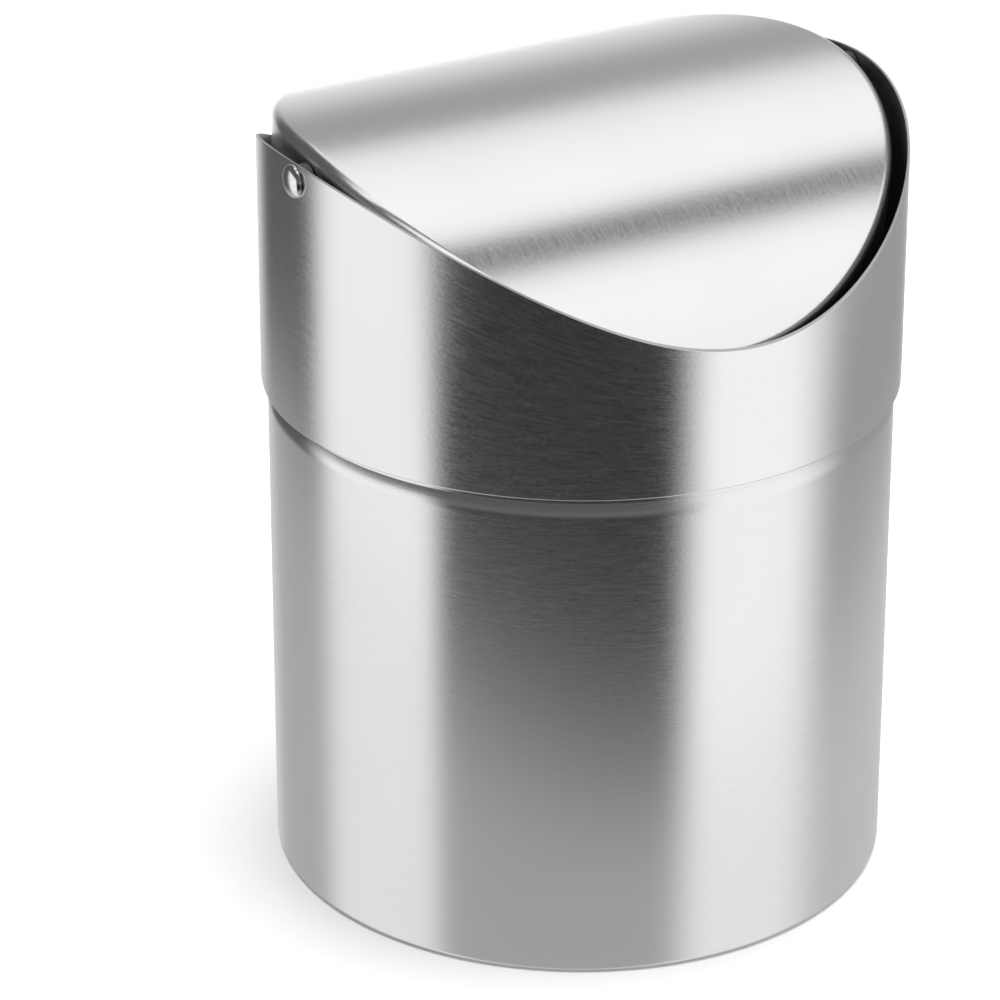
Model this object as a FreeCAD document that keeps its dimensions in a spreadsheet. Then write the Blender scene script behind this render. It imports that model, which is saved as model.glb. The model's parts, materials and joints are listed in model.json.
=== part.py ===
import FreeCAD, Part
import math
import os

import Sketcher

# Small round swing-lid waste bin in brushed stainless sheet.
# Millimetres, +Z up. The origin is the middle of the face it stands on,
# the lid swings about an axis along X, and the front is towards -Y.

doc = FreeCAD.newDocument("wastebasket")
sheet = doc.addObject("Spreadsheet::Sheet", "Dims")

DIMENSIONS = {
    # sheet metal in general
    "gauge": 0.5,
    "bend": 0.35,
    # can: rolled wall, necked in at the top so that the collar sits over it
    "can_radius": 58.8,
    "lip_height": 0.4,
    "lip_width": 3.0,
    "neck_radius": 57.9,
    "shoulder_low": 94.0,
    "shoulder_top": 95.5,
    "shoulder_round": 5.5,
    "can_height": 107.3,
    "hem_depth": 3.2,
    # base plate, raised in the middle, and the foam pad under it
    "panel_height": 3.0,
    "panel_radius": 55.3,
    "pad_radius": 54.6,
    # collar, with a saddle-shaped rim that is high beside the pivots
    "collar_radius": 60.0,
    "collar_foot": 97.0,
    "rim_peak": 149.3,
    "rim_drop": 26.2,
    # channel ring in the collar, which straddles the can's rim
    "skirt_foot": 98.6,
    "plug_radius": 57.1,
    "plug_foot": 99.6,
    # pivots: domed rivets, spacers outside the lid's edge, washers inside it
    "pivot_height": 146.0,
    "shank_radius": 1.5,
    "rivet_gap": 0.03,
    "running_gap": 0.08,
    "head_radius": 3.1,
    "head_height": 1.5,
    "head_edge": 0.25,
    "washer_radius": 2.8,
    "side_play": 0.1,
    "washer_gauge": 0.7,
    "tail_radius": 2.3,
    "tail_length": 1.4,
    # lid: a disc pressed to part of a cylinder, with its edge turned down
    "lid_radius": 57.0,
    "lid_arc": 84.0,
    "lid_rise": 4.8,
    "lid_edge": 8.0,
    "lid_fold": 2.2,
    "lid_lead": 0.384,
    "lid_tilt": 8.0,
}

for row, (alias, number) in enumerate(DIMENSIONS.items(), start=1):
    sheet.set("A%d" % row, alias)
    sheet.set("B%d" % row, str(number))
    sheet.setAlias("B%d" % row, alias)
doc.recompute()

V_AXIS = -2
START, END, MIDDLE = 1, 2, 3
TOLERANCE = 0.01
QUARTER_TURN = FreeCAD.Rotation(FreeCAD.Vector(0, 1, 0), 90)


def size(alias):
    """Value of one cell of the sheet."""
    return float(sheet.get(alias))


def total(terms):
    """Number that a sum of cells and numbers comes to, such as "can_radius - gauge"."""
    result, sign = 0.0, 1.0
    for word in terms.split():
        if word in "+-":
            sign = -1.0 if word == "-" else 1.0
        else:
            result += sign * (size(word) if word in DIMENSIONS else float(word))
    return result


def formula(terms):
    """The same sum as an expression on the sheet's cells."""
    words = ["Dims." + word if word in DIMENSIONS else word for word in terms.split()]
    return " ".join(words)


def bind(item, prop, terms):
    item.setExpression(prop, formula(terms))


# ---- helpers for bodies, sketches and features ----


def new_body(label):
    body = doc.addObject("PartDesign::Body", label)
    body.Label = label
    return body


def new_sketch(body, role, name):
    """A sketch on one of the body's own origin planes."""
    plane = [item for item in body.Origin.OriginFeatures if item.Role == role][0]
    sketch = body.newObject("Sketcher::SketchObject", name)
    sketch.AttachmentSupport = [(plane, "")]
    sketch.MapMode = "FlatFace"
    return sketch


def hold(sketch, rule, terms):
    """Add a dimension to a sketch and bind it to a sum of cells."""
    index = sketch.addConstraint(rule)
    sketch.setExpression("Constraints[%d]" % index, formula(terms))


def place(sketch, geometry, point, kind, terms):
    """Hold one coordinate of a sketch point; "0" puts it on the upright axis."""
    if terms == "0":
        sketch.addConstraint(Sketcher.Constraint("PointOnObject", geometry, point, V_AXIS))
    else:
        hold(sketch, Sketcher.Constraint(kind, geometry, point, total(terms)), terms)


def outline(body, name, corners):
    """Closed outline on the XZ plane, counter-clockwise; a corner is a radius and a height.

    The side after a corner that has a third word, "arc", is an arc centred on the axis.
    """
    sketch = new_sketch(body, "XZ_Plane", name)
    points = [FreeCAD.Vector(total(corner[0]), total(corner[1]), 0) for corner in corners]
    sides = range(len(corners))
    for side, corner in enumerate(corners):
        first, last = points[side], points[(side + 1) % len(points)]
        if corner[-1] == "arc":
            sketch.addGeometry(axis_arc(first, last), False)
            place(sketch, side, MIDDLE, "DistanceX", "0")
        else:
            sketch.addGeometry(Part.LineSegment(first, last), False)
    for side in sides:
        after = (side + 1) % len(corners)
        sketch.addConstraint(Sketcher.Constraint("Coincident", side, END, after, START))
        place(sketch, side, START, "DistanceX", corners[side][0])
        place(sketch, side, START, "DistanceY", corners[side][1])
    return sketch


def axis_arc(first, last):
    """Arc about a point of the upright axis, from a point beside it to one on it."""
    rise = last.y - first.y
    radius = (first.x**2 + rise**2) / (2 * rise)
    centre = FreeCAD.Vector(0, last.y - radius, 0)
    circle = Part.Circle(centre, FreeCAD.Vector(0, 0, 1), radius)
    start = math.atan2(first.y - centre.y, first.x)
    return Part.ArcOfCircle(circle, start, math.pi / 2)


def turn(body, corners):
    """Revolve an outline about the body's Z axis."""
    sketch = outline(body, body.Name + "_profile", corners)
    feature = body.newObject("PartDesign::Revolution", body.Name + "_turned")
    feature.Profile = sketch
    feature.ReferenceAxis = (sketch, ["V_Axis"])
    feature.Angle = 360.0
    doc.recompute()
    return feature


def ring_edges(shape, rings):
    """Names of the round edges at the given radii and heights."""
    names = []
    for index, edge in enumerate(shape.Edges, start=1):
        if edge.Degenerated or not isinstance(edge.Curve, Part.Circle):
            continue
        for across, up in rings:
            wide = abs(edge.Curve.Radius - total(across)) < TOLERANCE
            level = abs(edge.Curve.Center.z - total(up)) < TOLERANCE
            if wide and level:
                names.append("Edge%d" % index)
    return names


def round_off(body, feature, edges, radius):
    """Fillet the named edges of the body's last feature."""
    fillet = body.newObject("PartDesign::Fillet", feature.Name + "_rounded")
    fillet.Base = (feature, edges)
    bind(fillet, "Radius", radius)
    doc.recompute()
    return fillet


def cylinder(name, radius, length):
    """Part cylinder on the Z axis."""
    item = doc.addObject("Part::Cylinder", name)
    bind(item, "Radius", radius)
    bind(item, "Height", length)
    return item


def lengthwise(name, radius, height):
    """Part cylinder along X, longer than the bin is wide, at a height."""
    item = cylinder(name, radius, "collar_radius + collar_radius + collar_radius")
    base = FreeCAD.Vector(-1.5 * size("collar_radius"), 0, height)
    item.Placement = FreeCAD.Placement(base, QUARTER_TURN)
    return item


def cut(name, base, tool):
    item = doc.addObject("Part::Cut", name)
    item.Base = base
    item.Tool = tool
    return item


def common(name, first, second):
    item = doc.addObject("Part::MultiCommon", name)
    item.Shapes = [first, second]
    return item


# ---- can: wall, base plate, foam pad ----


def make_can_wall():
    """Tube with an inward lip at the foot, a rounded shoulder and a hemmed neck."""
    body = new_body("can_wall")
    feature = turn(body, [
        ("can_radius - lip_width", "lip_height"),
        ("can_radius", "lip_height"),
        ("can_radius", "shoulder_low"),
        ("neck_radius", "shoulder_top"),
        ("neck_radius", "can_height - hem_depth"),
        ("neck_radius + gauge", "can_height - hem_depth"),
        ("neck_radius + gauge", "can_height"),
        ("neck_radius - gauge", "can_height"),
        ("neck_radius - gauge", "shoulder_top"),
        ("can_radius - gauge", "shoulder_low"),
        ("can_radius - gauge", "lip_height + gauge"),
        ("can_radius - lip_width", "lip_height + gauge"),
    ])
    outer = ring_edges(feature.Shape, [("can_radius", "shoulder_low")])
    rounded = round_off(body, feature, outer, "shoulder_round")
    inner = ring_edges(rounded.Shape, [("can_radius - gauge", "shoulder_low")])
    rounded = round_off(body, rounded, inner, "shoulder_round - gauge")
    tight = [
        ("can_radius", "lip_height"),
        ("neck_radius", "shoulder_top"),
        ("neck_radius + gauge", "can_height"),
        ("neck_radius - gauge", "can_height"),
    ]
    round_off(body, rounded, ring_edges(rounded.Shape, tight), "bend")
    return body


def make_base_plate():
    """Raised panel, a step down to the lip, and a flange that lies on the lip."""
    body = new_body("base_plate")
    turn(body, [
        ("0", "panel_height"),
        ("panel_radius - gauge", "panel_height"),
        ("panel_radius - gauge", "lip_height + gauge"),
        ("can_radius - gauge", "lip_height + gauge"),
        ("can_radius - gauge", "lip_height + gauge + gauge"),
        ("panel_radius", "lip_height + gauge + gauge"),
        ("panel_radius", "panel_height + gauge"),
        ("0", "panel_height + gauge"),
    ])
    return body


def make_base_pad():
    """Foam disc stuck under the raised panel; the bin stands on it."""
    body = new_body("base_pad")
    turn(body, [
        ("0", "0.0"),
        ("pad_radius", "0.0"),
        ("pad_radius", "panel_height"),
        ("0", "panel_height"),
    ])
    return body


# ---- collar and the ring inside it ----


def make_collar():
    """Tube whose rim is an arc seen from the side, drilled for the rivets."""
    height = "rim_peak - collar_foot + 5"
    outside = cylinder("collar_outside", "collar_radius", height)
    inside = cylinder("collar_inside", "collar_radius - gauge", height)
    for item in (outside, inside):
        item.Placement = FreeCAD.Placement(
            FreeCAD.Vector(0, 0, size("collar_foot")), FreeCAD.Rotation())
    tube = cut("collar_tube", outside, inside)

    # The rim's arc passes through the peaks at the pivots and the low points.
    across, drop = size("collar_radius"), size("rim_drop")
    arc = (across**2 + drop**2) / (2 * drop)
    saddle = lengthwise("collar_saddle", "collar_radius", size("rim_peak") - arc)
    saddle.setExpression(
        "Radius", "(Dims.collar_radius^2 + Dims.rim_drop^2) / (2 * Dims.rim_drop)")
    trimmed = common("collar_trimmed", tube, saddle)

    drill = lengthwise("collar_drill", "shank_radius + rivet_gap", size("pivot_height"))
    return cut("collar", trimmed, drill)


def make_collar_ring():
    """Channel ring spot-welded in the collar; its web rests on the can's rim."""
    body = new_body("collar_ring")
    web = "can_height"
    skirt = "collar_radius - gauge"
    turn(body, [
        (skirt + " - gauge", "skirt_foot"),
        (skirt, "skirt_foot"),
        (skirt, web + " + gauge"),
        ("plug_radius - gauge", web + " + gauge"),
        ("plug_radius - gauge", "plug_foot"),
        ("plug_radius", "plug_foot"),
        ("plug_radius", web),
        (skirt + " - gauge", web),
    ])
    return body


# ---- lid ----


def arched_disc(label, inset, depth):
    """Disc pressed to an arc about X with its top edge rounded, on the pivot axis.

    It is smaller than the lid all round by the inset, and as thick as the depth.
    """
    body = new_body(label)
    side = new_sketch(body, "YZ_Plane", label + "_side")
    axis_height = "lid_rise - lid_arc"
    radii = ["lid_arc" + inset, "lid_arc" + depth]
    centre = FreeCAD.Vector(0, total(axis_height), 0)
    normal = FreeCAD.Vector(0, 0, 1)
    reach = "lid_radius + 5"
    for radius in radii:
        start = math.acos(total(reach) / total(radius))
        circle = Part.Circle(centre, normal, total(radius))
        side.addGeometry(Part.ArcOfCircle(circle, start, math.pi - start), False)
    for end in (START, END):
        points = [side.getPoint(arc, end) for arc in (0, 1)]
        line = side.addGeometry(Part.LineSegment(points[0], points[1]), False)
        side.addConstraint(Sketcher.Constraint("Coincident", 0, end, line, START))
        side.addConstraint(Sketcher.Constraint("Coincident", 1, end, line, END))
        side.addConstraint(Sketcher.Constraint("Vertical", line))
        place(side, line, START, "DistanceX", reach if end == START else "0 - lid_radius - 5")
    side.addConstraint(Sketcher.Constraint("Coincident", 0, MIDDLE, 1, MIDDLE))
    place(side, 0, MIDDLE, "DistanceX", "0")
    place(side, 0, MIDDLE, "DistanceY", axis_height)
    for arc, radius in enumerate(radii):
        hold(side, Sketcher.Constraint("Radius", arc, total(radius)), radius)
    slab = body.newObject("PartDesign::Pad", label + "_slab")
    slab.Profile = side
    slab.SideType = "Symmetric"
    bind(slab, "Length", "lid_radius + lid_radius + 10")
    doc.recompute()

    # Seen from above it is round, with its middle a little forward of the pivots.
    plan = new_sketch(body, "XY_Plane", label + "_plan")
    centre = FreeCAD.Vector(0, -size("lid_lead"), 0)
    for ring, radius in enumerate(("lid_radius" + inset, "lid_radius + lid_radius")):
        plan.addGeometry(Part.Circle(centre, normal, total(radius)), False)
        hold(plan, Sketcher.Constraint("Radius", ring, total(radius)), radius)
        place(plan, ring, MIDDLE, "DistanceX", "0")
        place(plan, ring, MIDDLE, "DistanceY", "0 - lid_lead")
    trim = body.newObject("PartDesign::Pocket", label + "_trim")
    trim.Profile = plan
    trim.Type = "ThroughAll"
    trim.SideType = "Symmetric"
    doc.recompute()

    arc, crown = total(radii[0]), total(axis_height)
    rim = []
    for index, edge in enumerate(trim.Shape.Edges, start=1):
        points = [edge.valueAt(edge.FirstParameter), edge.valueAt(edge.LastParameter)]
        if min(math.hypot(point.y, point.z - crown) for point in points) > arc - TOLERANCE:
            rim.append("Edge%d" % index)
    round_off(body, trim, rim, "lid_fold" + inset)
    return body


def make_lid():
    """One sheet: the face, the fold round it and the turned-down edge, bored for the rivets.

    It is made level on its pivot axis, and the placement hangs it front edge down.
    """
    outside = arched_disc("lid_outside", "", " - lid_edge")
    inside = arched_disc("lid_inside", " - gauge", " - lid_edge - lid_edge")
    shell = cut("lid_shell", outside, inside)
    drill = lengthwise("lid_drill", "shank_radius + running_gap", 0)
    lid = cut("lid", shell, drill)
    tilt = FreeCAD.Rotation(FreeCAD.Vector(1, 0, 0), size("lid_tilt"))
    lid.Placement = FreeCAD.Placement(FreeCAD.Vector(0, 0, size("pivot_height")), tilt)
    return lid


# ---- pivots ----

SIDES = {"left": -1, "right": 1}


def pivot_part(kind, side, corners):
    """Turned part on the lid's axis; its local Z points outward from the collar's face."""
    body = new_body(kind + "_" + side)
    feature = turn(body, corners)
    outward = SIDES[side]
    turned = FreeCAD.Rotation(FreeCAD.Vector(0, 1, 0), 90 * outward)
    base = FreeCAD.Vector(outward * size("collar_radius"), 0, size("pivot_height"))
    body.Placement = FreeCAD.Placement(base, turned)
    return body, feature


def make_rivet(side):
    """Solid rivet: domed head outside the collar, shank, and upset tail inside the lid."""
    under_tail = "lid_radius - gauge - side_play - side_play - washer_gauge - collar_radius"
    tail_end = under_tail + " - tail_length"
    body, feature = pivot_part("rivet", side, [
        ("0", tail_end),
        ("tail_radius", tail_end),
        ("tail_radius", under_tail),
        ("shank_radius", under_tail),
        ("shank_radius", "0.0"),
        ("head_radius", "0.0"),
        ("head_radius", "head_edge", "arc"),
        ("0", "head_height"),
    ])
    ends = ring_edges(feature.Shape, [("tail_radius", tail_end)])
    round_off(body, feature, ends, "bend")
    return body


def make_spacer(side):
    """Plastic tube that keeps the lid's edge off the collar."""
    body, _ = pivot_part("spacer", side, [
        ("shank_radius + running_gap", "lid_radius + side_play - collar_radius"),
        ("washer_radius", "lid_radius + side_play - collar_radius"),
        ("washer_radius", "0 - gauge - side_play"),
        ("shank_radius + running_gap", "0 - gauge - side_play"),
    ])
    return body


def make_washer(side):
    """Washer between the lid's edge and the rivet's tail."""
    outer_face = "lid_radius - gauge - side_play - side_play - collar_radius"
    body, _ = pivot_part("washer", side, [
        ("shank_radius + running_gap", outer_face + " - washer_gauge"),
        ("washer_radius", outer_face + " - washer_gauge"),
        ("washer_radius", outer_face),
        ("shank_radius + running_gap", outer_face),
    ])
    return body


parts = [
    make_can_wall(),
    make_base_plate(),
    make_base_pad(),
    make_collar(),
    make_collar_ring(),
    make_lid(),
]
for side in SIDES:
    parts += [make_rivet(side), make_spacer(side), make_washer(side)]
doc.recompute()

# ---- check everything, then write one file for each sub-part ----

for item in doc.Objects:
    if "Invalid" in item.State or "Error" in item.State:
        raise RuntimeError("%s failed: %s" % (item.Name, item.State))
for part in parts:
    if part.Shape.isNull() or not part.Shape.isValid() or len(part.Shape.Solids) != 1:
        raise RuntimeError("%s has a bad shape" % part.Label)

os.makedirs("parts", exist_ok=True)
for part in parts:
    part.Shape.exportStep(os.path.join("parts", part.Label + ".step"))
    print("%-14s %9.1f mm3" % (part.Label, part.Shape.Volume))
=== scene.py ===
import json
import math

import bmesh
import bpy
from mathutils import Matrix, Vector


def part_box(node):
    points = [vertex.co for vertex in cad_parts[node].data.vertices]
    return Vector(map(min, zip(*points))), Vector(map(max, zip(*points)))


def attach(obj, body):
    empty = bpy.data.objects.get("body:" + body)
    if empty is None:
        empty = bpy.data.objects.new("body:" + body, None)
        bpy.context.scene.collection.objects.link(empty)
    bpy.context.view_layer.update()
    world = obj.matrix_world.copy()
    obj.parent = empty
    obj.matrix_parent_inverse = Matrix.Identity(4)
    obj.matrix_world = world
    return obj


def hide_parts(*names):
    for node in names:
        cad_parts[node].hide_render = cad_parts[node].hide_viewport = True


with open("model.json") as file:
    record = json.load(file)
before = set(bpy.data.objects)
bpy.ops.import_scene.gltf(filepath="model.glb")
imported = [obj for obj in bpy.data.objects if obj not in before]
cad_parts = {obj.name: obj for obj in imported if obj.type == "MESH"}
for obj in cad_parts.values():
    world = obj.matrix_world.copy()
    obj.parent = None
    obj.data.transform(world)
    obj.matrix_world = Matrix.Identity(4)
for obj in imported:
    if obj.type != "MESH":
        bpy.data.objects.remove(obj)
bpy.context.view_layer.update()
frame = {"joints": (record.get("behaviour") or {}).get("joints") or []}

# Small swing-lid waste bin in brushed stainless sheet: a necked can, a collar
# with a saddle-shaped rim that sits over it, and an arched lid on two rivets.
# Shapes are worked out in millimetres, like the CAD, and stored in metres.

MM = 0.001
SEGMENTS = 256
GAUGE = 0.5
TIGHT_BEND = 0.35
BURR = 0.09
FOOT_ROUND = 0.3
SIDES = {"left": -1, "right": 1}
WELD_EDGES = (0.3, 0.7)
WELD_ROUGHNESS = 0.14
WELD_RELIEF = 1.2


def span(node):
    """Lowest and highest corner of a CAD node, in millimetres."""
    low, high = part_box(node)
    return low / MM, high / MM


# ---- sizes that the frame gives ----

wall_low, wall_high = span("can_wall")
collar_low, collar_high = span("collar")
pad_low, pad_high = span("base_pad")
plate_low, plate_high = span("base_plate")
ring_low, ring_high = span("collar_ring")
spacer_low, spacer_high = span("spacer_right")
washer_low, washer_high = span("washer_right")
swing = [joint for joint in frame["joints"] if joint["name"] == "lid_swing"][0]

CAN_RADIUS = wall_high.x
CAN_FOOT = wall_low.z
CAN_TOP = wall_high.z
COLLAR_RADIUS = collar_high.x
COLLAR_FOOT = collar_low.z
RIM_PEAK = collar_high.z
PIVOT_HEIGHT = swing["pos_m"][2] / MM

# ---- sizes of details that a box doesn't show ----

LIP_WIDTH = 3.0
NECK_RADIUS = 57.9
SHOULDER_LOW = 94.0
SHOULDER_TOP = 95.5
SHOULDER_ROUND = 5.5
HEM_DEPTH = 3.2
PANEL_RADIUS = 55.3
RIM_DROP = 26.2
CHANNEL_GAP = 1.9
LID_RADIUS = 57.0
LID_ARC = 84.0
LID_RISE = 4.8
LID_EDGE = 8.0
LID_FOLD = 2.2
LID_LEAD = 0.384
LID_TILT = math.radians(8.0)
COLLAR_BORE = 1.53
LID_BORE = 1.58
SHANK_RADIUS = 1.5
HEAD_RADIUS = 3.1
HEAD_EDGE = 0.25
HEAD_HEIGHT = 1.5
TAIL_RADIUS = 2.3
TAIL_LENGTH = 1.4

# ---- camera, where the photographer stood ----

CAMERA_AZIMUTH = math.radians(-31.56)
CAMERA_DISTANCE = 0.8
CAMERA_HEIGHT = 0.4444
CAMERA_PITCH = math.radians(25.13)
CAMERA_YAW = math.radians(1.087)
CAMERA_LENS = 167.1


def make_camera():
    camera = bpy.data.objects.new("camera", bpy.data.cameras.new("camera"))
    camera.data.lens = CAMERA_LENS
    camera.location = (
        CAMERA_DISTANCE * math.sin(CAMERA_AZIMUTH),
        -CAMERA_DISTANCE * math.cos(CAMERA_AZIMUTH),
        CAMERA_HEIGHT,
    )
    camera.rotation_euler = (math.pi / 2 - CAMERA_PITCH, 0, CAMERA_AZIMUTH + CAMERA_YAW)
    bpy.context.scene.collection.objects.link(camera)
    bpy.context.scene.camera = camera


# ---- node helpers ----


def add(tree, kind, **settings):
    """New node of a kind, with its settings."""
    node = tree.nodes.new(kind)
    for name, value in settings.items():
        setattr(node, name, value)
    return node


def math_node(tree, operation, *values):
    node = add(tree, "ShaderNodeMath", operation=operation)
    for socket, value in zip(node.inputs, values):
        if isinstance(value, (int, float)):
            socket.default_value = value
        else:
            tree.links.new(value, socket)
    return node.outputs[0]


def remap(tree, value, low, high, new_low, new_high, smooth=False):
    """Value carried from one range to another and held at its ends."""
    node = add(tree, "ShaderNodeMapRange")
    if smooth:
        node.interpolation_type = "SMOOTHSTEP"
    tree.links.new(value, node.inputs["Value"])
    limits = {"From Min": low, "From Max": high, "To Min": new_low, "To Max": new_high}
    for name, number in limits.items():
        node.inputs[name].default_value = number
    return node.outputs["Result"]


def noise(tree, coordinates, scale, detail=2.0, seed=0.0):
    """Noise on coordinates stretched by three scales."""
    stretch = add(tree, "ShaderNodeMapping")
    stretch.inputs["Scale"].default_value = scale
    stretch.inputs["Location"].default_value = (seed, 2 * seed, 3 * seed)
    tree.links.new(coordinates, stretch.inputs["Vector"])
    texture = add(tree, "ShaderNodeTexNoise")
    texture.inputs["Scale"].default_value = 1.0
    texture.inputs["Detail"].default_value = detail
    tree.links.new(stretch.outputs["Vector"], texture.inputs["Vector"])
    return texture.outputs["Fac"]


def weigh(tree, first, second):
    """Weighted sum of two values."""
    shares = [math_node(tree, "MULTIPLY", value, weight) for value, weight in (first, second)]
    return math_node(tree, "ADD", *shares)


def ramp(tree, value, stops):
    """Colour ramp through (place, grey or colour) stops."""
    node = add(tree, "ShaderNodeValToRGB")
    node.color_ramp.interpolation = "EASE"
    elements = node.color_ramp.elements
    while len(elements) < len(stops):
        elements.new(0.5)
    for element, (place, shade) in zip(elements, sorted(stops)):
        element.position = place
        element.color = (shade, shade, shade, 1) if isinstance(shade, (int, float)) else (*shade, 1)
    tree.links.new(value, node.inputs["Fac"])
    return node.outputs["Color"]


def mix_colour(tree, factor, first, second):
    node = add(tree, "ShaderNodeMix", data_type="RGBA")
    tree.links.new(factor, node.inputs["Factor"])
    for socket, colour in zip((node.inputs[6], node.inputs[7]), (first, second)):
        if isinstance(colour, tuple):
            socket.default_value = (*colour, 1)
        else:
            tree.links.new(colour, socket)
    return node.outputs[2]


def new_material(name):
    """A material, its node tree and its main shader."""
    material = bpy.data.materials.new(name)
    material.use_nodes = True
    tree = material.node_tree
    return material, tree, tree.nodes["Principled BSDF"]


def bump(tree, shader, height, strength, distance):
    node = add(tree, "ShaderNodeBump")
    node.inputs["Strength"].default_value = strength
    node.inputs["Distance"].default_value = distance
    tree.links.new(height, node.inputs["Height"])
    tree.links.new(node.outputs["Normal"], shader.inputs["Normal"])


# ---- materials ----


def weld_band(tree, sheet, girth):
    """1 on the weld, where the ends of a sheet of this length meet, and 0 elsewhere."""
    parts = add(tree, "ShaderNodeSeparateXYZ")
    tree.links.new(sheet, parts.inputs["Vector"])
    from_middle = math_node(tree, "SUBTRACT", parts.outputs["X"], girth / 2)
    to_end = math_node(tree, "SUBTRACT", girth / 2, math_node(tree, "ABSOLUTE", from_middle))
    inner_edge, outer_edge = [edge * MM for edge in WELD_EDGES]
    return remap(tree, to_end, inner_edge, outer_edge, 1, 0, smooth=True)


def brushed_steel(name, girth=0.0, tone=0.74, roughness=0.23, grip=0.8):
    """Stainless sheet, brushed across it or, where it goes round with a girth, along it."""
    around = girth > 0
    material, tree, shader = new_material(name)
    sheet = add(tree, "ShaderNodeTexCoord").outputs["UV"]
    long_way = (lambda fine, run: (run, fine, 1)) if around else (lambda fine, run: (fine, run, 1))
    hairlines = noise(tree, sheet, long_way(5200, 1300), detail=2, seed=3.1)
    strokes = noise(tree, sheet, long_way(2600, 170), detail=1, seed=7.7)
    clouds = noise(tree, sheet, (38, 38, 1), detail=2, seed=1.9)
    grain = weigh(tree, (hairlines, 0.6), (strokes, 0.4))
    shade = weigh(tree, (grain, 0.7), (clouds, 0.3))
    dark = (tone * 0.965, tone * 0.96, tone * 0.958)
    light = (tone * 1.035, tone * 1.034, tone * 1.033)
    tree.links.new(
        mix_colour(tree, remap(tree, shade, 0.32, 0.68, 0, 1), dark, light), shader.inputs["Base Color"]
    )
    rough = remap(tree, grain, 0.3, 0.7, roughness - 0.04, roughness + 0.04)
    height = hairlines
    if around:
        weld = weld_band(tree, sheet, girth)
        rough = weigh(tree, (rough, 1.0), (weld, WELD_ROUGHNESS))
        height = weigh(tree, (hairlines, 1.0), (weld, WELD_RELIEF))
    tree.links.new(rough, shader.inputs["Roughness"])
    shader.inputs["Metallic"].default_value = 1.0
    shader.inputs["Anisotropic"].default_value = grip
    shader.inputs["Anisotropic Rotation"].default_value = 0.25 if around else 0.0
    tangent = add(tree, "ShaderNodeTangent", direction_type="UV_MAP", uv_map="UVMap")
    tree.links.new(tangent.outputs["Tangent"], shader.inputs["Tangent"])
    bump(tree, shader, height, 0.45, 0.00002)
    return material


def plain_steel(name, tone, roughness, spread):
    """Steel without brush lines: mill finish, a sheared edge or a polished head."""
    material, tree, shader = new_material(name)
    place = add(tree, "ShaderNodeTexCoord").outputs["Object"]
    specks = noise(tree, place, (900, 900, 900), detail=3, seed=5.3)
    clouds = noise(tree, place, (70, 70, 70), detail=2, seed=2.4)
    shade = weigh(tree, (specks, 0.5), (clouds, 0.5))
    dark = (tone * 0.9, tone * 0.895, tone * 0.885)
    light = (tone * 1.1, tone * 1.1, tone * 1.095)
    tree.links.new(
        mix_colour(tree, remap(tree, shade, 0.35, 0.65, 0, 1), dark, light), shader.inputs["Base Color"]
    )
    tree.links.new(
        remap(tree, shade, 0.3, 0.7, roughness - spread, roughness + spread), shader.inputs["Roughness"]
    )
    shader.inputs["Metallic"].default_value = 1.0
    bump(tree, shader, specks, 0.12, 0.00002)
    return material


def nylon(name):
    material, tree, shader = new_material(name)
    place = add(tree, "ShaderNodeTexCoord").outputs["Object"]
    clouds = noise(tree, place, (400, 400, 400), detail=3, seed=4.2)
    tree.links.new(
        mix_colour(tree, clouds, (0.018, 0.018, 0.018), (0.035, 0.035, 0.034)), shader.inputs["Base Color"]
    )
    tree.links.new(remap(tree, clouds, 0.3, 0.7, 0.38, 0.52), shader.inputs["Roughness"])
    bump(tree, shader, clouds, 0.15, 0.00003)
    return material


def foam(name):
    """Closed-cell foam: small open cells in a dark skin, a little dusty."""
    material, tree, shader = new_material(name)
    place = add(tree, "ShaderNodeTexCoord").outputs["Object"]
    cells = add(tree, "ShaderNodeTexVoronoi")
    cells.inputs["Scale"].default_value = 1400
    tree.links.new(place, cells.inputs["Vector"])
    dust = noise(tree, place, (60, 60, 60), detail=4, seed=8.8)
    tree.links.new(
        mix_colour(tree, remap(tree, dust, 0.45, 0.75, 0, 1), (0.018, 0.018, 0.019), (0.07, 0.068, 0.065)),
        shader.inputs["Base Color"],
    )
    tree.links.new(remap(tree, dust, 0.3, 0.7, 0.75, 0.95), shader.inputs["Roughness"])
    bump(tree, shader, cells.outputs["Distance"], 0.6, 0.0002)
    return material


# ---- mesh helpers ----


def rounded(corners, closed=True):
    """Outline through (radius, height, round) corners, with every round as an arc."""
    points = []
    for i, (radius, height, bend) in enumerate(corners):
        here = Vector((radius, height))
        end = not closed and i in (0, len(corners) - 1)
        if end or bend == 0:
            points.append(here)
            continue
        back = (Vector(corners[i - 1][:2]) - here).normalized()
        ahead = (Vector(corners[(i + 1) % len(corners)][:2]) - here).normalized()
        half = back.angle(ahead) / 2
        middle = here + (back + ahead).normalized() * (bend / math.sin(half))
        start = here + back * (bend / math.tan(half)) - middle
        stop = here + ahead * (bend / math.tan(half)) - middle
        turn = start.angle_signed(stop)
        steps = max(2, round(abs(turn) / math.radians(11)))
        for k in range(steps + 1):
            arm = start.copy()
            arm.rotate(Matrix.Rotation(-turn * k / steps, 2))
            points.append(middle + arm)
    return points


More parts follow.
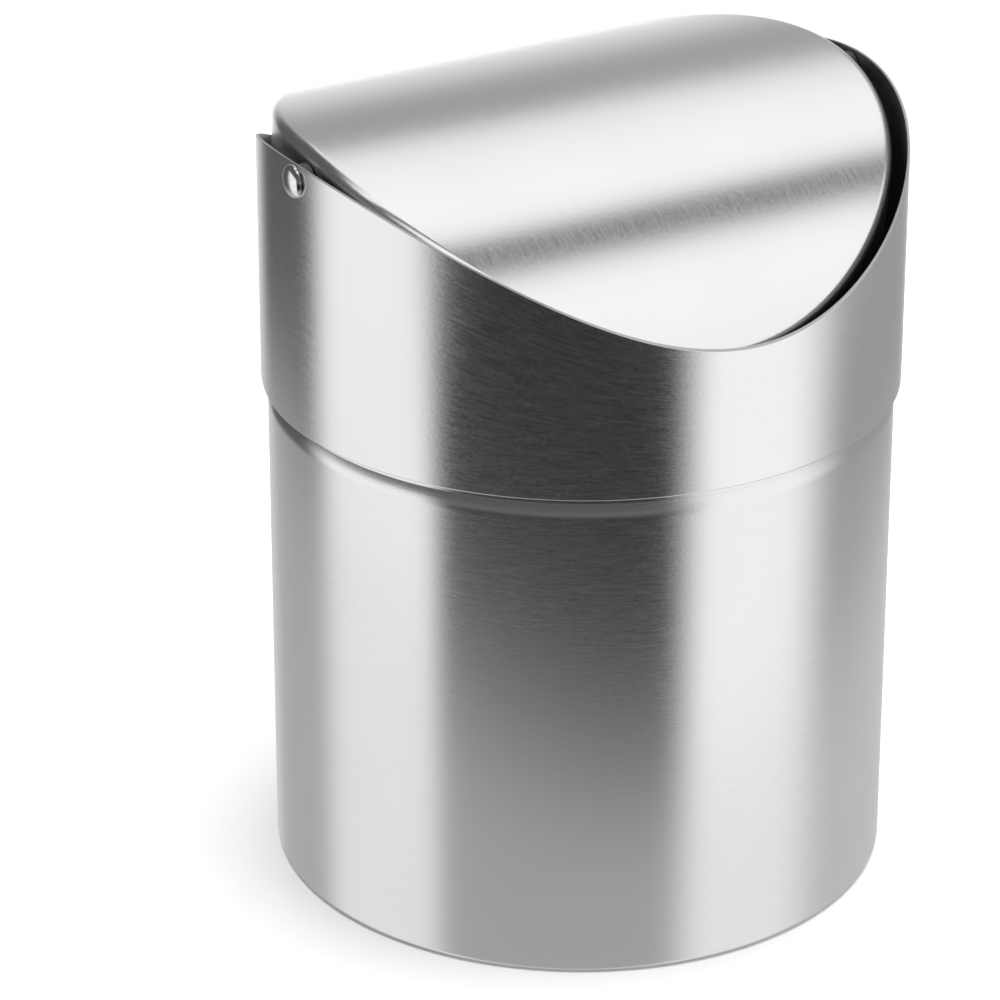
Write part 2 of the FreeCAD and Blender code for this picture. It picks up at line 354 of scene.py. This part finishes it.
def skin(name, rings, chart, closed):
    """Piece over rings of points; a ring of one point is a pole.

    chart(row, column) is the corner's place on the flat sheet.
    """
    mesh = bpy.data.meshes.new(name)
    build = bmesh.new()
    layer = build.loops.layers.uv.new("UVMap")
    rows = [[build.verts.new(point * MM) for point in ring] for ring in rings]
    for row in range(len(rows) if closed else len(rows) - 1):
        for column in range(SEGMENTS):
            corners = {}
            for i, j in ((row, column), (row + 1, column), (row + 1, column + 1), (row, column + 1)):
                ring = rows[i % len(rows)]
                corners.setdefault(ring[j % len(ring)], chart(i, j))
            face = build.faces.new(corners)
            face.smooth = True
            for loop, place in zip(face.loops, corners.values()):
                loop[layer].uv = (place[0] * MM, place[1] * MM)
    bmesh.ops.recalc_face_normals(build, faces=build.faces)
    build.to_mesh(mesh)
    build.free()
    piece = bpy.data.objects.new(name, mesh)
    bpy.context.scene.collection.objects.link(piece)
    return piece


def polar(angle, radius, height):
    return Vector((radius * math.cos(angle), radius * math.sin(angle), height))


# The sheet's ends meet at the back, where the weld is.
WELD_ANGLE = math.pi / 2
ANGLES = [WELD_ANGLE + 2 * math.pi * j / SEGMENTS for j in range(SEGMENTS)]


def revolve(name, section, closed=True):
    """Piece swept round Z from section(angle), a list of (radius, height) points."""
    sections = [section(angle) for angle in ANGLES]
    first = sections[0]
    rings = []
    for i, point in enumerate(first):
        if point[0] == 0:
            rings.append([Vector((0, 0, point[1]))])
        else:
            rings.append([polar(a, *s[i]) for a, s in zip(ANGLES, sections)])
    widest = max(point[0] for point in first)
    lengths = [0.0]
    for i in range(len(first)):
        lengths.append(lengths[-1] + (first[(i + 1) % len(first)] - first[i]).length)

    def chart(row, column):
        return widest * 2 * math.pi * column / SEGMENTS, lengths[row]

    return skin(name, rings, chart, closed)


def paint(piece, materials, choose=None):
    """Give a piece its materials; choose(centre, normal) picks one by number for each face."""
    piece.data.materials.clear()
    for material in materials:
        piece.data.materials.append(material)
    for face in piece.data.polygons:
        face.material_index = choose(face.center / MM, face.normal) if choose else 0


def drill(piece, radius):
    """Holes for both rivets, along the swing axis."""
    reach = COLLAR_RADIUS + 5
    rod = [Vector((0, -reach)), Vector((radius, -reach)), Vector((radius, reach)), Vector((0, reach))]
    cutter = revolve("cutter", lambda angle: rod, closed=False)
    cutter.location.z = PIVOT_HEIGHT * MM
    cutter.rotation_euler.y = math.pi / 2
    cut = piece.modifiers.new("bore", "BOOLEAN")
    cut.object = cutter
    cut.operation = "DIFFERENCE"
    shown = piece.evaluated_get(bpy.context.evaluated_depsgraph_get())
    piece.data = bpy.data.meshes.new_from_object(shown)
    piece.modifiers.clear()
    bpy.data.objects.remove(cutter)


def finish(piece, node, body):
    """Even out the shading, then tie the piece to the frame."""
    even = piece.modifiers.new("even shading", "WEIGHTED_NORMAL")
    even.weight = 100
    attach(piece, body)
    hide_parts(node)


def outward(centre, normal):
    """True where a face looks away from the upright axis."""
    return centre.x * normal.x + centre.y * normal.y > 0


# ---- can ----


def make_can_wall(steel, mill):
    neck_inner = NECK_RADIUS - GAUGE
    hem_radius = NECK_RADIUS + GAUGE
    hem_foot = CAN_TOP - HEM_DEPTH
    hem_round = 1.3 * TIGHT_BEND
    outline = rounded(
        [
            (CAN_RADIUS - LIP_WIDTH, CAN_FOOT, BURR),
            (CAN_RADIUS, CAN_FOOT, TIGHT_BEND + GAUGE),
            (CAN_RADIUS, SHOULDER_LOW, SHOULDER_ROUND),
            (NECK_RADIUS, SHOULDER_TOP, TIGHT_BEND),
            (NECK_RADIUS, hem_foot, 0),
            (hem_radius, hem_foot, BURR),
            (hem_radius, CAN_TOP, hem_round),
            (neck_inner, CAN_TOP, hem_round),
            (neck_inner, SHOULDER_TOP, TIGHT_BEND),
            (CAN_RADIUS - GAUGE, SHOULDER_LOW, SHOULDER_ROUND - GAUGE),
            (CAN_RADIUS - GAUGE, CAN_FOOT + GAUGE, TIGHT_BEND),
            (CAN_RADIUS - LIP_WIDTH, CAN_FOOT + GAUGE, BURR),
        ]
    )
    piece = revolve("can_wall_look", lambda angle: outline)

    def choose(centre, normal):
        return 0 if outward(centre, normal) or normal.z < -0.5 else 1

    paint(piece, [steel, mill], choose)
    finish(piece, "can_wall", "can")


def make_base_plate(mill):
    inset = plate_high.x
    outline = rounded(
        [
            (0, plate_high.z - GAUGE, 0),
            (PANEL_RADIUS - GAUGE, plate_high.z - GAUGE, TIGHT_BEND),
            (PANEL_RADIUS - GAUGE, plate_low.z, TIGHT_BEND),
            (inset, plate_low.z, BURR),
            (inset, plate_low.z + GAUGE, BURR),
            (PANEL_RADIUS, plate_low.z + GAUGE, TIGHT_BEND),
            (PANEL_RADIUS, plate_high.z, TIGHT_BEND),
            (0, plate_high.z, 0),
        ],
        closed=False,
    )
    piece = revolve("base_plate_look", lambda angle: outline, closed=False)
    paint(piece, [mill])
    finish(piece, "base_plate", "can")


def make_base_pad(material):
    outline = rounded(
        [
            (0, pad_low.z, 0),
            (pad_high.x, pad_low.z, 0.5),
            (pad_high.x, pad_high.z, 0.3),
            (0, pad_high.z, 0),
        ],
        closed=False,
    )
    piece = revolve("base_pad_look", lambda angle: outline, closed=False)
    paint(piece, [material])
    finish(piece, "base_pad", "can")


# ---- collar ----


def rim_height(y):
    """The rim is cut along a circle seen from the side, highest beside the pivots."""
    arc = (COLLAR_RADIUS**2 + RIM_DROP**2) / (2 * RIM_DROP)
    return RIM_PEAK - arc + math.sqrt(arc**2 - y**2)


def collar_section(angle):
    inner = COLLAR_RADIUS - GAUGE
    outer_rim = rim_height(COLLAR_RADIUS * math.sin(angle))
    inner_rim = rim_height(inner * math.sin(angle))
    rows = 36
    points = rounded(
        [
            (inner, COLLAR_FOOT, BURR),
            (COLLAR_RADIUS, COLLAR_FOOT, FOOT_ROUND),
            (COLLAR_RADIUS, outer_rim, BURR),
            (inner, inner_rim, BURR),
        ]
    )
    half = len(points) // 2
    up = [points[half - 1].lerp(points[half], k / rows) for k in range(1, rows)]
    down = [points[-1].lerp(points[0], k / rows) for k in range(1, rows)]
    return points[:half] + up + points[half:] + down


def make_collar(steel, mill, sheared):
    piece = revolve("collar_look", collar_section)
    drill(piece, COLLAR_BORE)

    def choose(centre, normal):
        if abs(normal.z) > 0.5:
            return 2
        return 0 if outward(centre, normal) else 1

    paint(piece, [steel, mill, sheared], choose)
    finish(piece, "collar", "collar")


def make_collar_ring(mill):
    skirt = ring_high.x
    plug = skirt - CHANNEL_GAP - 2 * GAUGE
    outline = rounded(
        [
            (skirt - GAUGE, ring_low.z, BURR),
            (skirt, ring_low.z, BURR),
            (skirt, ring_high.z, TIGHT_BEND),
            (plug, ring_high.z, TIGHT_BEND),
            (plug, ring_low.z + 1, BURR),
            (plug + GAUGE, ring_low.z + 1, BURR),
            (plug + GAUGE, ring_high.z - GAUGE, 0.1),
            (skirt - GAUGE, ring_high.z - GAUGE, 0.1),
        ]
    )
    piece = revolve("collar_ring_look", lambda angle: outline)
    paint(piece, [mill])
    finish(piece, "collar_ring", "collar")


# ---- lid ----


def lid_column(angle, inset):
    """Points on one face of the lid from its middle to its foot, and their places on the flat sheet.

    inset is 0 on the outer face and the gauge on the inner one.
    """
    arc, fold, radius = LID_ARC - inset, LID_FOLD - inset, LID_RADIUS - inset
    axis_height = LID_RISE - LID_ARC
    side = Vector((math.cos(angle), math.sin(angle), 0))
    spine = side * (LID_RADIUS - LID_FOLD) + Vector((0, -LID_LEAD, 0))
    spine.z = axis_height + math.sqrt((LID_ARC - LID_FOLD) ** 2 - spine.y**2)
    up = (spine - Vector((spine.x, 0, axis_height))).normalized()
    edge = spine + up * fold
    points, places = [], []
    crown_rows, fold_rows, edge_rows = 32, 9, 7
    for k in range(crown_rows + 1):
        share = k / crown_rows
        x, y = edge.x * share, -LID_LEAD + (edge.y + LID_LEAD) * share
        points.append(Vector((x, y, axis_height + math.sqrt(arc**2 - y**2))))
        places.append(Vector((x, LID_ARC * math.asin(y / arc))))
    bend = up.angle(side)
    for k in range(1, fold_rows + 1):
        arm = up.slerp(side, k / fold_rows)
        points.append(spine + arm * fold)
        places.append(places[crown_rows] + side.xy * (LID_FOLD * bend * k / fold_rows))
    wall = spine + side * fold
    foot = axis_height + math.sqrt((LID_ARC - LID_EDGE) ** 2 - wall.y**2)
    drop = wall.z - foot - BURR
    last = places[-1]
    for k in range(1, edge_rows + 1):
        points.append(wall - Vector((0, 0, drop * k / edge_rows)))
        places.append(last + side.xy * (drop * k / edge_rows))
    return points, places


def make_lid(steel, mill, sheared):
    columns = []
    for angle in ANGLES:
        outer, outer_places = lid_column(angle, 0)
        inner, inner_places = lid_column(angle, GAUGE)
        side = Vector((math.cos(angle), math.sin(angle), 0))
        down = Vector((0, 0, BURR))
        corner = [outer[-1] - side * BURR - down, inner[-1] + side * BURR - down]
        last = outer_places[-1]
        places = [last + side.xy * BURR, last + side.xy * GAUGE]
        columns.append((outer + corner + inner[::-1], outer_places + places + inner_places[::-1]))
    rings = [[column[0][i] for column in columns] for i in range(len(columns[0][0]))]
    rings[0] = rings[0][:1]
    rings[-1] = rings[-1][:1]
    piece = skin("lid_look", rings, lambda row, column: columns[column % SEGMENTS][1][row], closed=False)
    piece.location.z = PIVOT_HEIGHT * MM
    drill(piece, LID_BORE)
    foot_arc = LID_ARC - LID_EDGE + BURR

    def choose(centre, normal):
        from_axis = Vector((0, centre.y, centre.z - LID_RISE + LID_ARC))
        if from_axis.length < foot_arc and normal.z < -0.3:
            return 2
        from_middle = Vector((centre.x, centre.y, 0)) * 0.2 + from_axis
        return 0 if from_middle.dot(normal) > 0 else 1

    paint(piece, [steel, mill, sheared], choose)
    piece.data.transform(Matrix.Rotation(LID_TILT, 4, "X"))
    finish(piece, "lid", "lid")


# ---- pivots ----


def make_rivet(side, polished):
    """Local Z points outwards, and zero is the collar's outer face."""
    tail = COLLAR_RADIUS - washer_low.x
    crown = HEAD_HEIGHT - HEAD_EDGE
    steps = 12
    dome = []
    for k in range(steps):
        slope = k / steps * math.pi / 2
        dome.append(Vector((HEAD_RADIUS * math.cos(slope), HEAD_EDGE + crown * math.sin(slope))))
    body = rounded(
        [
            (0, -tail - TAIL_LENGTH, 0),
            (TAIL_RADIUS, -tail - TAIL_LENGTH, 0.4),
            (TAIL_RADIUS, -tail, 0.15),
            (SHANK_RADIUS, -tail, 0),
            (SHANK_RADIUS, 0, 0),
            (HEAD_RADIUS, 0, 0.08),
            (HEAD_RADIUS, HEAD_EDGE, 0),
        ],
        closed=False,
    )
    outline = body[:-1] + dome + [Vector((0, HEAD_HEIGHT))]
    piece = revolve("rivet_%s_look" % side, lambda angle: outline, closed=False)
    piece.location = (SIDES[side] * COLLAR_RADIUS * MM, 0, PIVOT_HEIGHT * MM)
    piece.rotation_euler.y = SIDES[side] * math.pi / 2
    paint(piece, [polished])
    finish(piece, "rivet_" + side, "collar")


def make_flat_ring(kind, side, low, high, material, soft):
    """Spacer or washer: a flat ring on the swing axis, between two distances from the middle."""
    radius = high.z - PIVOT_HEIGHT
    outline = rounded(
        [
            (LID_BORE, low.x, soft),
            (radius, low.x, soft),
            (radius, high.x, soft),
            (LID_BORE, high.x, soft),
        ]
    )
    piece = revolve("%s_%s_look" % (kind, side), lambda angle: outline)
    piece.location.z = PIVOT_HEIGHT * MM
    piece.rotation_euler.y = SIDES[side] * math.pi / 2
    paint(piece, [material])
    finish(piece, "%s_%s" % (kind, side), "collar")


# ---- studio ----

FLOOR_RADIUS = 0.4
# A glowing patch that stands in for the table's reflection, a painted reflection seen only by the steel:
# off centre, with its brightness, its cover and where that fades out.
SHEEN_RADIUS = 0.28
SHEEN_CENTRE = (-0.008, 0.0635, 0.0001)
SHEEN_LIGHT = 0.85
SHEEN_COVER = 0.54
SHEEN_FADE = (0.15, 0.27)
LAMP_SIZE = 1.6
LAMP_POWER = 30
LAMP_HEIGHT = 1.5


def make_stage_disc(name, radius):
    mesh = bpy.data.meshes.new(name)
    build = bmesh.new()
    bmesh.ops.create_circle(build, cap_ends=True, segments=96, radius=radius)
    build.to_mesh(mesh)
    build.free()
    disc = bpy.data.objects.new(name, mesh)
    bpy.context.scene.collection.objects.link(disc)
    return disc


def make_floor():
    """Pale round table top."""
    floor = make_stage_disc("floor", FLOOR_RADIUS)
    material, tree, shader = new_material("pale_floor")
    shader.inputs["Base Color"].default_value = (0.9, 0.9, 0.9, 1)
    shader.inputs["Roughness"].default_value = 0.8
    shader.inputs["Specular IOR Level"].default_value = 0.0
    floor.data.materials.append(material)
    floor.visible_glossy = False


def make_sheen():
    """What the steel mirrors of the table: a glowing pale patch, no lamp, a painted reflection seen only
    in mirror reflections.
    """
    disc = make_stage_disc("table_sheen", SHEEN_RADIUS)
    disc.location = SHEEN_CENTRE
    disc.visible_camera = False
    disc.visible_diffuse = False
    disc.visible_shadow = False
    material = bpy.data.materials.new("table_sheen")
    material.use_nodes = True
    tree = material.node_tree
    tree.nodes.clear()
    place = add(tree, "ShaderNodeTexCoord").outputs["Object"]
    reach = add(tree, "ShaderNodeVectorMath", operation="LENGTH")
    tree.links.new(place, reach.inputs[0])
    cover = remap(tree, reach.outputs["Value"], *SHEEN_FADE, SHEEN_COVER, 0.0, smooth=True)
    # painted reflection: the patch glows with this light, though it is no lamp
    glow = add(tree, "ShaderNodeEmission")
    glow.inputs["Color"].default_value = (SHEEN_LIGHT, SHEEN_LIGHT, SHEEN_LIGHT, 1)
    clear = add(tree, "ShaderNodeBsdfTransparent")
    blend = add(tree, "ShaderNodeMixShader")
    tree.links.new(cover, blend.inputs["Fac"])
    tree.links.new(clear.outputs["BSDF"], blend.inputs[1])
    tree.links.new(glow.outputs["Emission"], blend.inputs[2])
    out = add(tree, "ShaderNodeOutputMaterial")
    tree.links.new(blend.outputs["Shader"], out.inputs["Surface"])
    disc.data.materials.append(material)


def make_lamp():
    """Broad soft light overhead, which whitens the floor."""
    lamp = bpy.data.objects.new("overhead", bpy.data.lights.new("overhead", "AREA"))
    lamp.data.shape = "DISK"
    lamp.data.size = LAMP_SIZE
    lamp.data.energy = LAMP_POWER
    lamp.location.z = LAMP_HEIGHT
    lamp.visible_glossy = False
    bpy.context.scene.collection.objects.link(lamp)


# The room by bearing from the camera's side, in degrees: a soft box on each side, a dark gap
# between them towards the camera, a dark corner at the back left and a grey back.
BOX_LIGHT = 1.2
CORNER = 0.12
BACK_GREY = 0.4


def wall_stops(gap, left_box):
    return [
        (-160, 0.6), (-145, CORNER), (-115, CORNER), (-97, left_box), (-60, left_box), (-47, gap),
        (30, gap), (50, BOX_LIGHT), (80, BOX_LIGHT), (110, BACK_GREY), (160, BACK_GREY),
    ]


LOW_WALLS = wall_stops(gap=0.02, left_box=BOX_LIGHT)
MIDDLE_WALLS = wall_stops(gap=0.22, left_box=BOX_LIGHT)
HIGH_WALLS = wall_stops(gap=CORNER, left_box=CORNER)
# The back wall is lit from its foot, by elevation; the ceiling is two panels with a dark slot
# between them, by angle over the swing axis.
BACK_WALL = [(-25, 0.8), (-15, 1.5), (0, 0.9), (25, BACK_GREY)]
CEILING = [(-10, 1.3), (0, 0.1), (4, 0.1), (8, 1.3)]
# In degrees: how far up the middle and high walls take over, where the back wall begins, and
# where the ceiling begins, which is higher around one bearing on the camera's side.
MIDDLE_RISE = (-12, -2)
HIGH_RISE = (3, 10)
BACK_SPREAD = (156, 174)
CEILING_RISE = (36.5, 38.5)
OPENING_BEARING = -36
OPENING_SPREAD = (74, 88)
OPENING_LIFT = 22
# The ceiling is closed off at the back left, by the two level parts of a direction.
CLOSED_LEFT_OF = (0.08, 0.26)
CLOSED_BEHIND = (0.2, 0.5)
CLOSED_GREY = (0.1, 0.1, 0.1)
WHITE = (1.0, 1.0, 1.0)


def shades(tree, angle, limit, stops):
    """Grey ramp over an angle from -limit to limit, with its stops in degrees."""
    share = remap(tree, angle, -limit, limit, 0, 1)
    full = math.degrees(limit)
    return ramp(tree, share, [((degrees + full) / (2 * full), grey) for degrees, grey in stops])


def fade(tree, angle, limits):
    """0 to 1 as an angle goes from the first limit to the second, in degrees."""
    low, high = [math.radians(degrees) for degrees in limits]
    return remap(tree, angle, low, high, 0, 1, True)


def make_studio():
    """The room as the steel mirrors it; the camera itself sees plain white."""
    world = bpy.data.worlds.new("studio")
    bpy.context.scene.world = world
    world.use_nodes = True
    tree = world.node_tree
    place = add(tree, "ShaderNodeTexCoord").outputs["Generated"]
    turn = add(tree, "ShaderNodeVectorRotate", rotation_type="Z_AXIS")
    turn.inputs["Angle"].default_value = -CAMERA_AZIMUTH
    tree.links.new(place, turn.inputs["Vector"])
    seen = add(tree, "ShaderNodeSeparateXYZ")
    tree.links.new(turn.outputs["Vector"], seen.inputs["Vector"])
    own = add(tree, "ShaderNodeSeparateXYZ")
    tree.links.new(place, own.inputs["Vector"])

    camerawards = math_node(tree, "MULTIPLY", seen.outputs["Y"], -1)
    bearing = math_node(tree, "ARCTAN2", seen.outputs["X"], camerawards)
    elevation = math_node(tree, "ARCSINE", own.outputs["Z"])
    walls = shades(tree, bearing, math.pi, LOW_WALLS)
    for rise, stops in ((MIDDLE_RISE, MIDDLE_WALLS), (HIGH_RISE, HIGH_WALLS)):
        level = fade(tree, elevation, rise)
        walls = mix_colour(tree, level, walls, shades(tree, bearing, math.pi, stops))
    behind = fade(tree, math_node(tree, "ABSOLUTE", bearing), BACK_SPREAD)
    back = shades(tree, elevation, math.pi / 2, BACK_WALL)
    over = math_node(tree, "ARCTAN2", own.outputs["Y"], own.outputs["Z"])
    ceiling = shades(tree, over, math.pi, CEILING)
    aside = math_node(tree, "ADD", bearing, -math.radians(OPENING_BEARING))
    off_centre = math_node(tree, "ABSOLUTE", aside)
    spread = [math.radians(degrees) for degrees in OPENING_SPREAD]
    lift = remap(tree, off_centre, *spread, math.radians(OPENING_LIFT), 0, True)
    aloft = fade(tree, math_node(tree, "SUBTRACT", elevation, lift), CEILING_RISE)
    right = remap(tree, own.outputs["X"], *CLOSED_LEFT_OF, 0.0, 1.0, True)
    rear = remap(tree, own.outputs["Y"], *CLOSED_BEHIND, 0.0, 1.0, True)
    closed = math_node(tree, "MULTIPLY", rear, math_node(tree, "SUBTRACT", 1.0, right))
    ceiling = mix_colour(tree, closed, ceiling, CLOSED_GREY)
    room = mix_colour(tree, aloft, mix_colour(tree, behind, walls, back), ceiling)
    path = add(tree, "ShaderNodeLightPath")
    shown = mix_colour(tree, path.outputs["Is Camera Ray"], room, WHITE)
    tree.links.new(shown, tree.nodes["Background"].inputs["Color"])
    bpy.context.scene.view_settings.view_transform = "Standard"


def make_bin():
    can_steel = brushed_steel("brushed_can_steel", 2 * math.pi * CAN_RADIUS * MM)
    collar_steel = brushed_steel("brushed_collar_steel", 2 * math.pi * COLLAR_RADIUS * MM)
    lid_steel = brushed_steel("brushed_lid_steel")
    mill = plain_steel("mill_steel", 0.55, 0.38, 0.06)
    sheared = plain_steel("sheared_edge", 0.42, 0.36, 0.08)
    polished = plain_steel("polished_steel", 0.7, 0.16, 0.04)
    plated = plain_steel("plated_steel", 0.6, 0.3, 0.08)
    make_can_wall(can_steel, mill)
    make_base_plate(mill)
    make_base_pad(foam("black_foam"))
    make_collar(collar_steel, mill, sheared)
    make_collar_ring(mill)
    make_lid(lid_steel, mill, sheared)
    black = nylon("black_nylon")
    for side in SIDES:
        make_rivet(side, polished)
        make_flat_ring("spacer", side, spacer_low, spacer_high, black, 0.15)
        make_flat_ring("washer", side, washer_low, washer_high, plated, 0.08)


make_camera()
make_floor()
make_sheen()
make_lamp()
make_studio()
make_bin()
